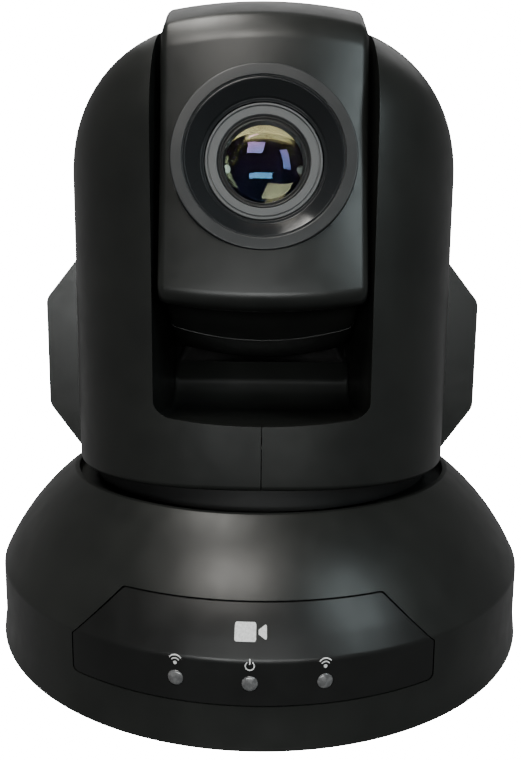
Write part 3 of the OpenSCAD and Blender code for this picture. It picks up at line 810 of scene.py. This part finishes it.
ring_points = rounded([(19.4, -5.2, 0), (19.4, 0.3, 0.35), (17.0, 0.3, 0.12), (16.9, -0.1, 0.05),
                       (16.75, -0.1, 0.1), (16.75, -1.0, 0), (17.6, -5.2, 0)], 4)
turned("lens_ring", ring_points, ring_plastic, ["lens_bezel"])
funnel_points = rounded([(17.4, -5.0, 0), (16.7, -1.1, 0), (16.7, -0.15, 0.1), (16.3, -0.15, 0.1),
                         (13.6, -2.3, 0.3), (13.3, -2.75, 0.15), (12.65, -2.75, 0.1), (12.6, -5.0, 0)], 4)
turned("lens_funnel", funnel_points, funnel_plastic)
barrel_points = rounded([(13, -33.5, 0), (13, -9, 0), (12.4, -9, 0), (12.4, -2.7, 0.25), (11.9, -2.7, 0.05),
                         (11.85, -3.1, 0.05), (11.6, -3.1, 0.05), (11.55, -2.7, 0.05), (9.95, -2.7, 0.15),
                         (9.75, -3.4, 0), (9.7, -8, 0), (9, -8, 0), (9, -33.5, 0)], 3)
turned("lens_barrel_skin", barrel_points, barrel_plastic, ["lens_barrel"])
stop_points = rounded([(9.65, -4.6, 0), (9.65, -3.2, 0.1), (9.35, -3.2, 0.1), (9.3, -3.55, 0.05),
                       (9.0, -3.55, 0.05), (8.95, -3.3, 0.08), (8.7, -3.3, 0.1), (8.3, -4.6, 0)], 3)
turned("lens_stop", stop_points, stop_plastic, ["retaining_ring"])

# %% [markdown]
# ## Glass
# The front lens is a shallow dome of tinted glass that light passes into, so the inner cells
# show dimly through it. Its coating tints what it reflects. The coating is the shader's thin
# film, a layer a few hundred nanometres thick, which colours reflections the way a real coating
# does, from any side.

# %% Front glass
dome_radius = 14.6
dome_centre = -16.6
edge_radius = 8.9
glass_back = -7.6
dome_points = [(dome_radius * sin(a), dome_centre + dome_radius * cos(a))
               for a in rising(0, asin(edge_radius / dome_radius), 20)]
glass_outline = dome_points + [(edge_radius, glass_back), (0, glass_back)]


def coated(name, thickness, tint, clear, rough=0.01):
    """Coated glass, its film so many nanometres thick; clear is the share of light let in."""
    material, nodes, links, shader, coords = node_tree(name)
    depth = noise(nodes, links, coords, 55, 2)
    links.new(ramp(nodes, links, depth, tint, tuple(0.8 * v for v in tint)), shader.inputs["Base Color"])
    wipe = noise(nodes, links, coords, 240, 4)
    links.new(ramp(nodes, links, wipe, rough, rough + 0.02), shader.inputs["Roughness"])
    shader.inputs["IOR"].default_value = 1.5
    shader.inputs["Transmission Weight"].default_value = clear
    shader.inputs["Thin Film Thickness"].default_value = thickness
    shader.inputs["Thin Film IOR"].default_value = 1.38
    return material


front_coating = coated("front_coating", 330, (0.42, 0.46, 0.45), 1.0)
inner_coating = coated("inner_coating", 240, (0.004, 0.002, 0.008), 0.0)
turned("front_glass", glass_outline, front_coating, ["front_lens"], 96, 60)

# %% [markdown]
# ## Status windows and marks on the panel
# Three small grey domes sit in the panel, two infrared receivers with a power light between
# them. The panel carries plain printed marks in white: a power sign over the middle dome, an arc
# over each receiver and a small camera sign. The marks are thin solids bent round the panel's
# wall, because a printed mark follows the surface and has crisp edges.

# %% Windows
window_grey, nodes, links, shader, coords = node_tree("window_grey")
cloud = noise(nodes, links, coords, 900, 3)
links.new(ramp(nodes, links, cloud, (0.07, 0.07, 0.072), (0.12, 0.12, 0.122)), shader.inputs["Base Color"])
links.new(ramp(nodes, links, cloud, 0.2, 0.32), shader.inputs["Roughness"])
shader.inputs["Coat Weight"].default_value = 0.5
shader.inputs["IOR"].default_value = 1.5

bead_r = 1.55 * MM
bead_foot, bead_shoulder = -1.6 * MM, -0.35 * MM
bead = rounded([(0, bead_foot, 0), (bead_r, bead_foot, 0), (bead_r, bead_shoulder, 0.2 * MM)], 3, False)
bead += [Vector((bead_r * cos(a), bead_shoulder + 0.45 * MM * sin(a))) for a in rising(0.1, pi / 2, 8)]
wall_r = base_r + 0.15 * MM
window_places = {}
for node in window_nodes:
    direction, height, turn = facing(node)
    window_places[node] = (atan2(direction.x, -direction.y), height)
    dome = placed(spun(bead, 48), Matrix.Translation(direction * wall_r + Vector((0, 0, height))) @ turn)
    finish_piece(new_object(node + "_dome", dome), "base", window_grey, [node], 50)
print("windows, angle and height:", window_places)

# %% Printed marks
mark_white, nodes, links, shader, coords = node_tree("mark_white")
print_grain = noise(nodes, links, coords, 2500, 2)
ink_colour = ramp(nodes, links, print_grain, (0.55, 0.55, 0.55), (0.72, 0.72, 0.72))
links.new(ink_colour, shader.inputs["Base Color"])
links.new(ramp(nodes, links, print_grain, 0.45, 0.6), shader.inputs["Roughness"])


def surface_at(z):
    """Radius of the panel's outside at height z."""
    path = base_section(0.02 * MM)
    for a, b in zip(path, path[1:]):
        if min(a.y, b.y) <= z <= max(a.y, b.y) and abs(a.y - b.y) > 1e-9:
            return a.x + (b.x - a.x) * (z - a.y) / (b.y - a.y)
    return base_r


print_thickness = 0.06 * MM
print_rise = 0.03 * MM


def printed(name, outlines, angle, z):
    """Flat outlines in millimetres, laid round the panel at an angle from its front and a height.

    Each mark is cut into half-millimetre squares first, so that it can bend."""
    bm = bmesh.new()
    for outline in outlines:
        points = [Vector((x * MM, y * MM)) for x, y in outline]
        one = extruded(points, lambda p: (p[0], 0, p[1]), (0, print_thickness, 0))
        bmesh.ops.triangulate(one, faces=one.faces[:])
        mesh = bpy.data.meshes.new("mark")
        one.to_mesh(mesh)
        one.free()
        bm.from_mesh(mesh)
    for step in rising(-3, 3, 12):
        for normal in (Vector((1, 0, 0)), Vector((0, 0, 1))):
            bmesh.ops.bisect_plane(bm, geom=bm.verts[:] + bm.edges[:] + bm.faces[:],
                                   plane_co=normal * step * MM, plane_no=normal)
    for vert in bm.verts:
        height = z + vert.co.z
        radius = surface_at(height) + print_rise - vert.co.y
        turn = angle + vert.co.x / base_r
        vert.co = Vector((radius * sin(turn), -radius * cos(turn), height))
    bmesh.ops.recalc_face_normals(bm, faces=bm.faces[:])
    return finish_piece(new_object(name, bm), "base", mark_white, (), 30)


def band(radius, width, start, end, steps=24):
    """Outline of a part ring, angles in degrees."""
    turn = [radians(a) for a in rising(start, end, steps)]
    far = [(radius * cos(a), radius * sin(a)) for a in turn]
    near = [((radius - width) * cos(a), (radius - width) * sin(a)) for a in turn[::-1]]
    return far + near


def bar(x0, z0, x1, z1):
    """Outline of an upright rectangle between two corners."""
    return [(x0, z0), (x1, z0), (x1, z1), (x0, z1)]


centre_angle = window_places["power_window"][0]
camera_sign = [rounded([(-3.1, -1.5, 0.4), (1.1, -1.5, 0.4), (1.1, 1.5, 0.4), (-3.1, 1.5, 0.4)], 4),
               rounded([(1.6, -0.35, 0.1), (3.2, -1.3, 0.25), (3.2, 1.3, 0.25), (1.6, 0.35, 0.1)], 4)]
printed("camera_sign", camera_sign, centre_angle, 23.6 * MM)
for node, (angle, z) in window_places.items():
    if node == "power_window":
        marks = [band(0.95, 0.22, -235, 55), bar(-0.12, 0.25, 0.12, 1.25)]
        printed("power_sign", marks, angle, z + 3.6 * MM)
    else:
        marks = [band(1.0, 0.2, 35, 145), band(1.6, 0.2, 40, 140), band(0.35, 0.349, 0, 350)]
        printed(node + "_sign", marks, angle, z + 3.1 * MM)

# %% [markdown]
# ## Finishes of the frame's own parts
# Parts whose shape is already right keep their mesh and only get a finish. Metals are made by one
# helper: a metallic shader whose roughness is streaked by stretched noise, as turned, drawn or
# plated metal is. Circuit boards have a pattern of copper tracks under green lacquer, and the
# motors have a painted can.


# %% Metals
def metal(name, colour, rough, stretch=(1, 1, 1), scale=700, relief=0.1):
    """Bare metal with fine streaks; stretch squeezes the noise along X, Y and Z."""
    material, nodes, links, shader, coords = node_tree(name)
    mapping = nodes.new("ShaderNodeMapping")
    mapping.inputs["Scale"].default_value = stretch
    links.new(coords, mapping.inputs["Vector"])
    streak = noise(nodes, links, mapping.outputs["Vector"], scale, 4)
    darker = tuple(0.82 * v for v in colour)
    links.new(ramp(nodes, links, streak, darker, colour), shader.inputs["Base Color"])
    links.new(ramp(nodes, links, streak, rough, rough + 0.14), shader.inputs["Roughness"])
    bump(nodes, links, shader, streak, relief, 0.00002)
    shader.inputs["Metallic"].default_value = 1.0
    return material


plated_steel = metal("plated_steel", (0.62, 0.62, 0.6), 0.26, (1, 1, 6))
dark_steel = metal("black_steel", (0.06, 0.06, 0.062), 0.42, (6, 1, 1))
screw_steel = metal("screw_steel", (0.11, 0.11, 0.115), 0.3)
motor_paint = metal("motor_can", (0.2, 0.2, 0.21), 0.36, (1, 1, 8))
turned_brass = metal("turned_brass", (0.78, 0.58, 0.28), 0.24, (1, 1, 9))
bearing_steel = metal("bearing_steel", (0.7, 0.7, 0.7), 0.14, (1, 1, 9), 500, 0.05)
port_metal = metal("socket_metal", (0.66, 0.66, 0.65), 0.22, (1, 7, 1))

# %% Circuit boards
board_green, nodes, links, shader, coords = node_tree("board_green")
tracks = nodes.new("ShaderNodeTexBrick")
tracks.inputs["Scale"].default_value = 420
tracks.inputs["Mortar Size"].default_value = 0.06
tracks.inputs["Color1"].default_value = (0.004, 0.055, 0.02, 1)
tracks.inputs["Color2"].default_value = (0.006, 0.075, 0.028, 1)
tracks.inputs["Mortar"].default_value = (0.02, 0.14, 0.05, 1)
links.new(coords, tracks.inputs["Vector"])
links.new(tracks.outputs["Color"], shader.inputs["Base Color"])
lacquer = noise(nodes, links, coords, 300, 3)
links.new(ramp(nodes, links, lacquer, 0.22, 0.34), shader.inputs["Roughness"])
bump(nodes, links, shader, tracks.outputs["Fac"], 0.3, 0.00004)

# %% [markdown]
# The inner lens cells are seen through the front glass, so they get the second coating. A table
# then names a finish for every part that stays.

# %% Give the parts their finishes
finishes = {
    dark_steel: ["base_plate"],
    plated_steel: ["pan_bracket", "pan_shaft", "yoke_frame", "head_frame", "guide_rods", "tilt_axle_left",
                   "tilt_axle_right", "tripod_insert"],
    bearing_steel: ["pan_bearing"],
    turned_brass: ["tilt_bush_left", "tilt_bush_right", "pan_motor_pulley", "tilt_motor_pulley"],
    screw_steel: ["base_screws", "yoke_screws", "head_screws"],
    motor_paint: ["pan_motor", "tilt_motor"],
    port_metal: ["usb_socket", "serial_socket_in", "serial_socket_out"],
    port_plastic: ["dc_jack", "switch_housing", "selector_housing", "rear_port_plate", "power_rocker"],
    selector_plastic: ["rotary_selector"],
    pulley_plastic: ["pan_pulley", "tilt_pulley"],
    belt_rubber: ["pan_belt", "tilt_belt"],
    foot_rubber: ["rubber_feet"],
    board_green: ["main_board", "sensor_board", "indicator_board"],
    # The turntable's extra-dark finish is painted shade for the recess under the yoke.
    turntable_painted_shade: ["turntable"],
    inner_coating: ["zoom_group", "focus_group"],
}
for material, names in finishes.items():
    for name in names:
        part = frame["nodes"][name]
        part.data.materials.clear()
        part.data.materials.append(material)
bare = [name for name, part in frame["nodes"].items()
        if not part.hide_render and not any(name in names for names in finishes.values())]
print("parts with no finish yet:", bare)

# %% [markdown]
# ## Floor
# The camera stands on a plain pale table in front of a pale wall, lit so brightly that both go
# white. The floor is a wide disc that glows strongly, so it stays white far behind the object,
# and it is hidden from the object's reflections, so it doesn't grey the black plastic.

# %% Floor
pale_glow = 24
floor_bm = bmesh.new()
bmesh.ops.create_circle(floor_bm, cap_ends=True, segments=96, radius=14)
floor = new_object("pale_floor", floor_bm)
floor_white, nodes, links, shader, coords = node_tree("floor_white")
mottle = noise(nodes, links, coords, 14, 2)
links.new(ramp(nodes, links, mottle, (0.86, 0.86, 0.86), (0.88, 0.88, 0.88)), shader.inputs["Base Color"])
links.new(ramp(nodes, links, mottle, 0.7, 0.8), shader.inputs["Roughness"])
shader.inputs["Emission Color"].default_value = (1, 1, 1, 1)
shader.inputs["Emission Strength"].default_value = pale_glow
floor.data.materials.append(floor_white)
floor.visible_diffuse = False
floor.visible_glossy = False

# %% [markdown]
# ## Light
# Black plastic shows what it reflects, so the light is drawn as a picture for it to reflect: a
# dim room that is a little brighter behind the object, two soft lamps high on the left, a cooler
# one on the right, a weak one behind and a low one in front that reaches under the head. The
# white wall itself is only seen directly. The lamps draw the long soft highlights.

# %% World
world = bpy.data.worlds.new("studio")
bpy.context.scene.world = world
world.use_nodes = True
nodes, links = world.node_tree.nodes, world.node_tree.links
nodes.clear()
heading = nodes.new("ShaderNodeTexCoord").outputs["Generated"]
split = nodes.new("ShaderNodeSeparateXYZ")
links.new(heading, split.inputs["Vector"])


def mapped(source, span, values):
    """A number that goes from the first of values to the second while source crosses span."""
    change = nodes.new("ShaderNodeMapRange")
    for socket, number in zip(("From Min", "From Max", "To Min", "To Max"), (*span, *values)):
        change.inputs[socket].default_value = number
    links.new(source, change.inputs["Value"])
    return change.outputs["Result"]


strength = nodes.new("ShaderNodeMath")
strength.operation = "MULTIPLY"
links.new(mapped(split.outputs["Y"], (-0.35, 0.75), (0.12, 0.30)), strength.inputs[0])
links.new(mapped(split.outputs["Z"], (0.15, 0.7), (1.0, 0.25)), strength.inputs[1])
room = nodes.new("ShaderNodeBackground")
links.new(strength.outputs["Value"], room.inputs["Strength"])
backdrop = nodes.new("ShaderNodeBackground")
backdrop.inputs["Strength"].default_value = pale_glow
choice = nodes.new("ShaderNodeMixShader")
links.new(nodes.new("ShaderNodeLightPath").outputs["Is Camera Ray"], choice.inputs["Fac"])
links.new(room.outputs["Background"], choice.inputs[1])
links.new(backdrop.outputs["Background"], choice.inputs[2])
links.new(choice.outputs["Shader"], nodes.new("ShaderNodeOutputWorld").inputs["Surface"])
print("world nodes:", len(nodes))


# %% Lamps
middle = Vector((0, 0, 0.08))


def soft_lamp(name, place, size, power, colour):
    """A rectangular lamp that looks at the middle of the camera; power is in watts."""
    data = bpy.data.lights.new(name, "AREA")
    data.shape = "RECTANGLE"
    data.size, data.size_y = size
    data.energy = power
    data.color = colour
    lamp = bpy.data.objects.new(name, data)
    bpy.context.scene.collection.objects.link(lamp)
    lamp.location = place
    lamp.rotation_euler = (middle - Vector(place)).to_track_quat("-Z", "Y").to_euler()


soft_lamp("front_lamp", (-0.20, -0.60, 0.86), (0.42, 0.34), 7, (1.0, 0.97, 0.92))
soft_lamp("left_lamp", (-0.20, -0.06, 0.86), (0.3, 0.2), 3.2, (1.0, 0.98, 0.93))
soft_lamp("right_lamp", (0.52, -0.60, 0.56), (0.2, 0.5), 3.2, (0.84, 0.98, 1.0))
soft_lamp("back_lamp", (0.1, 0.55, 0.75), (0.9, 0.4), 1, (1.0, 1.0, 1.0))
soft_lamp("low_lamp", (-0.08, -1.0, 0.16), (0.7, 0.16), 5.5, (0.97, 1.0, 0.99))
print(len(bpy.data.lights), "lamps")
